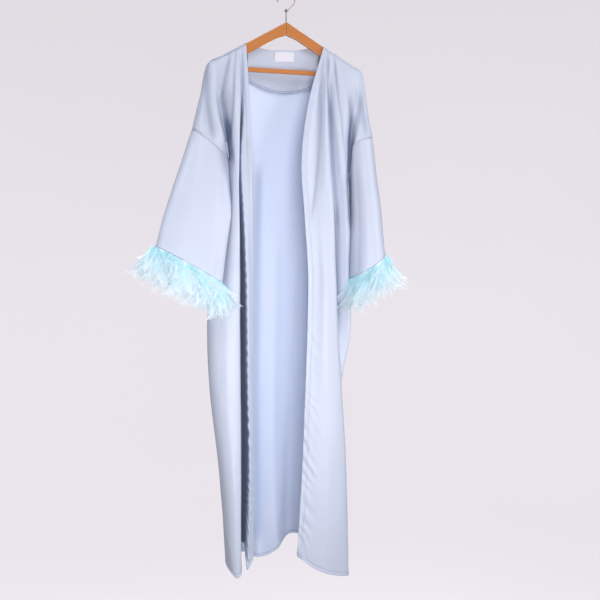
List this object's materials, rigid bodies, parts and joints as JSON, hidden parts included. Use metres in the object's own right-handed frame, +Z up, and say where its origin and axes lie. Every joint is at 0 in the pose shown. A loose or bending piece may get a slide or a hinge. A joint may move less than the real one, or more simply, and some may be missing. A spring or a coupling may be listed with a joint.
{
  "type": "abaya on hanger",
  "caption": "Open-front floor-length satin abaya with bell sleeves and feather cuffs, hanging on a flat wooden hanger with a wire hook",
  "frame": {"origin": "inner top of the hanger's hook, where a rail or a hand holds it up", "axes": "+Z up along the hanging garment; X along the hanger's arms, -X at the viewer's left; -Y is the garment's open front"},
  "size_m": [0.7833, 0.2965, 1.637],
  "materials": {
    "satin": "pale lavender-blue satin, soft sheen",
    "feathers": "dyed pale aqua feathers",
    "label": "white woven label, left bare",
    "hanger_wood": "varnished light brown wood",
    "hook_wire": "thin plated steel wire"
  },
  "bodies": {
    "root": {"front_left": "satin", "front_right": "satin", "back": "satin", "sleeve_left": "satin", "sleeve_right": "satin", "feather_cuff_left": "feathers", "feather_cuff_right": "feathers", "neck_facing": "satin", "neck_label": "label", "hanger_arms": "hanger_wood", "hanger_bar": "hanger_wood", "hanger_hook": "hook_wire", "hook_pin": "hook_wire"}
  },
  "joints": []
}
